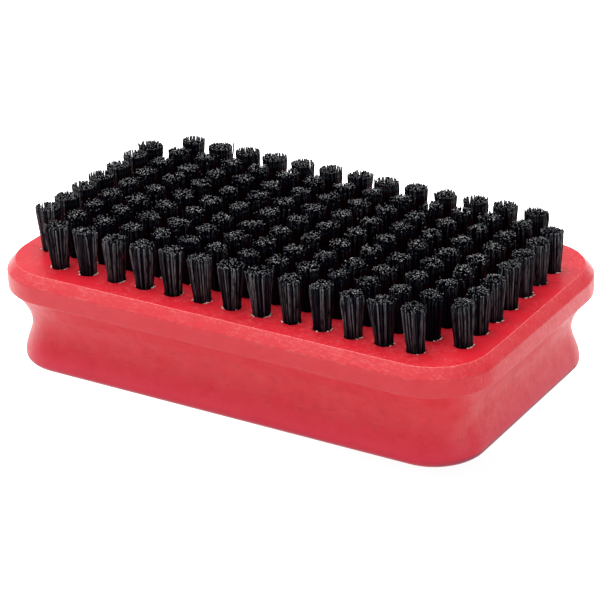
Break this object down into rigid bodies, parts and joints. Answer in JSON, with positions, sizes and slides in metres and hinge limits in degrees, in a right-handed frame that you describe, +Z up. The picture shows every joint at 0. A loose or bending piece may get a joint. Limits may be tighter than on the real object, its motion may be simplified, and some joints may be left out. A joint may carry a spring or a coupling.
{
  "type": "ski wax brush",
  "caption": "Hand brush for ski wax: a red-stained beech block with a finger groove all round its side, and a grid of short black nylon tufts on its flat face.",
  "frame": {"origin": "centre of the flat back that the brush lies on, at the bottom centre of its bounding box", "axes": "+X along the block's length, +Y across its width, +Z up from the back towards the bristle tips"},
  "size_m": [0.13, 0.078, 0.038],
  "materials": {
    "stained_beech": "red stain under a thin satin lacquer",
    "black_nylon": "black nylon filament with cut grey tips",
    "anchor_wire": "flat drawn wire"
  },
  "bodies": {
    "root": {"block": "stained_beech", "bristle_row_01": "black_nylon", "bristle_row_02": "black_nylon", "bristle_row_03": "black_nylon", "bristle_row_04": "black_nylon", "bristle_row_05": "black_nylon", "bristle_row_06": "black_nylon", "bristle_row_07": "black_nylon", "bristle_row_08": "black_nylon", "bristle_row_09": "black_nylon", "bristle_row_10": "black_nylon", "bristle_row_11": "black_nylon", "bristle_row_12": "black_nylon", "bristle_row_13": "black_nylon", "bristle_row_14": "black_nylon", "bristle_row_15": "black_nylon", "anchor_row_01": "anchor_wire", "anchor_row_02": "anchor_wire", "anchor_row_03": "anchor_wire", "anchor_row_04": "anchor_wire", "anchor_row_05": "anchor_wire", "anchor_row_06": "anchor_wire", "anchor_row_07": "anchor_wire", "anchor_row_08": "anchor_wire", "anchor_row_09": "anchor_wire", "anchor_row_10": "anchor_wire", "anchor_row_11": "anchor_wire", "anchor_row_12": "anchor_wire", "anchor_row_13": "anchor_wire", "anchor_row_14": "anchor_wire", "anchor_row_15": "anchor_wire"}
  },
  "joints": []
}
